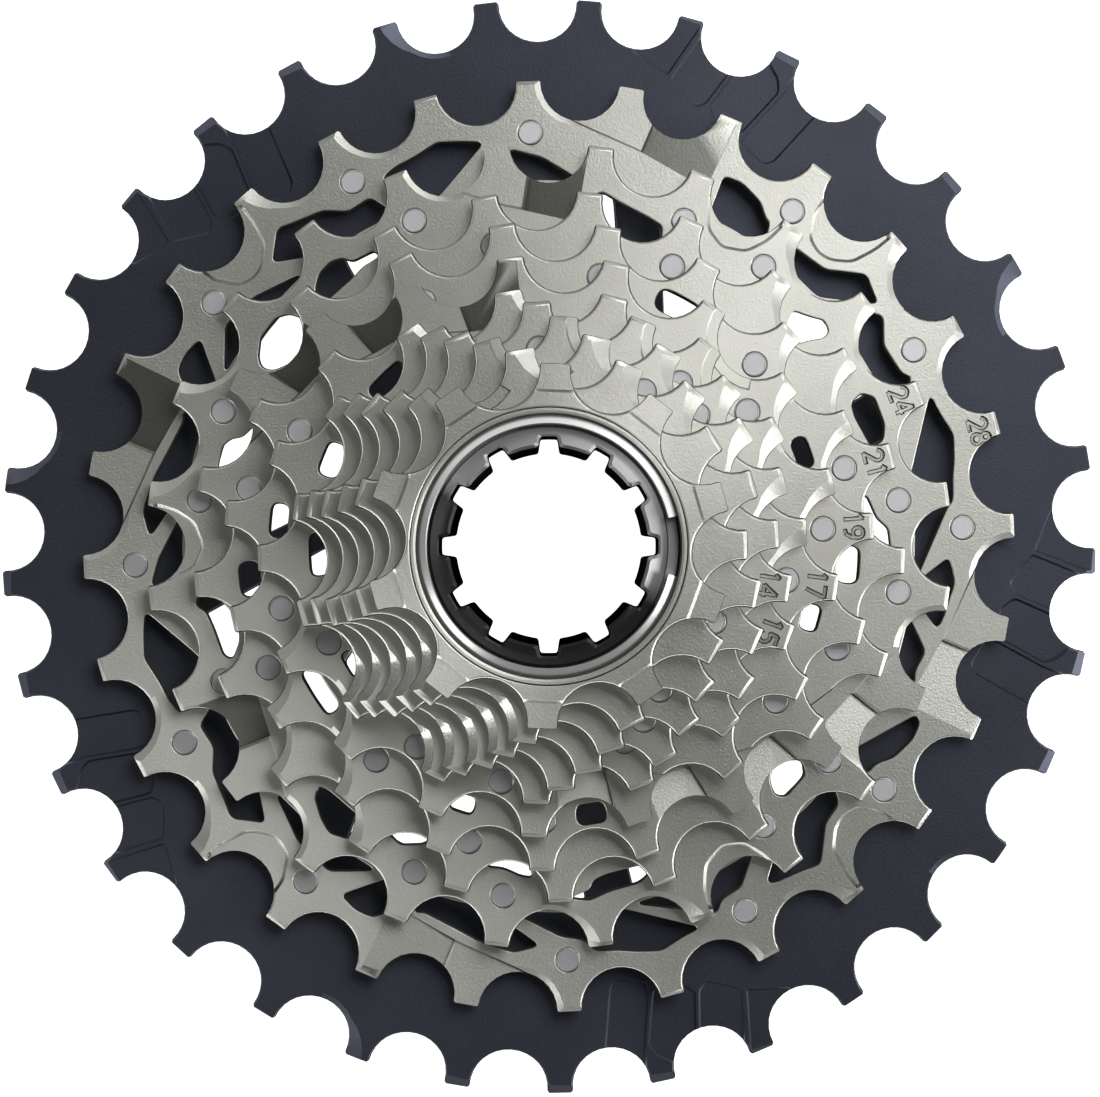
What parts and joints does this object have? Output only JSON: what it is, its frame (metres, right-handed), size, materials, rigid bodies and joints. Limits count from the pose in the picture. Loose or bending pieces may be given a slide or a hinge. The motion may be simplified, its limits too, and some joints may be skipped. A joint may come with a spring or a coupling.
{
  "type": "bicycle cassette sprocket",
  "caption": "Stepped cone of chain sprockets for a road bicycle's rear wheel, riveted together, with a black rear sprocket and a free-turning lock tube inside.",
  "frame": {"origin": "centre of the back face, on the wheel's axle line, where the cassette lies on its largest sprocket", "axes": "+Z along the axle from the largest sprocket to the smallest, +X and +Y in the plane of the sprockets"},
  "size_m": [0.1361, 0.1361, 0.041],
  "materials": {
    "nickel_steel": "satin nickel plate with fine grain and bright broken edges",
    "black_aluminium": "satin blue-black anodised, with thin bright edges",
    "pin_steel": "fine turned, slightly lilac grey",
    "tube_dark": "dark grey anodised, satin",
    "spring_steel": "bright polished spring steel"
  },
  "bodies": {
    "cassette": {"cluster_10_11_12_13": "nickel_steel", "pin_13_14_01": "pin_steel", "pin_13_14_02": "pin_steel", "pin_14_15_01": "pin_steel", "pin_14_15_02": "pin_steel", "pin_15_17_01": "pin_steel", "pin_15_17_02": "pin_steel", "pin_15_17_03": "pin_steel", "pin_17_19_01": "pin_steel", "pin_17_19_02": "pin_steel", "pin_17_19_03": "pin_steel", "pin_17_19_04": "pin_steel", "pin_19_21_01": "pin_steel", "pin_19_21_02": "pin_steel", "pin_19_21_03": "pin_steel", "pin_19_21_04": "pin_steel", "pin_19_21_05": "pin_steel", "pin_19_21_06": "pin_steel", "pin_19_21_07": "pin_steel", "pin_21_24_01": "pin_steel", "pin_21_24_02": "pin_steel", "pin_21_24_03": "pin_steel", "pin_21_24_04": "pin_steel", "pin_21_24_05": "pin_steel", "pin_21_24_06": "pin_steel", "pin_21_24_07": "pin_steel", "pin_24_28_01": "pin_steel", "pin_24_28_02": "pin_steel", "pin_24_28_03": "pin_steel", "pin_24_28_04": "pin_steel", "pin_24_28_05": "pin_steel", "pin_24_28_06": "pin_steel", "pin_24_28_07": "pin_steel", "pin_24_28_08": "pin_steel", "pin_24_28_09": "pin_steel", "pin_24_28_10": "pin_steel", "pin_24_28_11": "pin_steel", "pin_24_28_12": "pin_steel", "pin_28_33_01": "pin_steel", "pin_28_33_02": "pin_steel", "pin_28_33_03": "pin_steel", "pin_28_33_04": "pin_steel", "pin_28_33_05": "pin_steel", "pin_28_33_06": "pin_steel", "pin_28_33_07": "pin_steel", "pin_28_33_08": "pin_steel", "pin_28_33_09": "pin_steel", "pin_28_33_10": "pin_steel", "pin_28_33_11": "pin_steel", "pin_28_33_12": "pin_steel", "retaining_ring": "spring_steel", "sprocket_14": "nickel_steel", "sprocket_15": "nickel_steel", "sprocket_17": "nickel_steel", "sprocket_19": "nickel_steel", "sprocket_21": "nickel_steel", "sprocket_24": "nickel_steel", "sprocket_28": "nickel_steel", "sprocket_33": "black_aluminium"},
    "lock_tube": {"lock_tube": "tube_dark"}
  },
  "joints": [
    {"name": "lock_tube_spin", "type": "hinge", "parent": "cassette", "child": "lock_tube", "pos_m": [0, 0, 0.027], "axis": [0, 0, 1], "continuous": true}
  ]
}
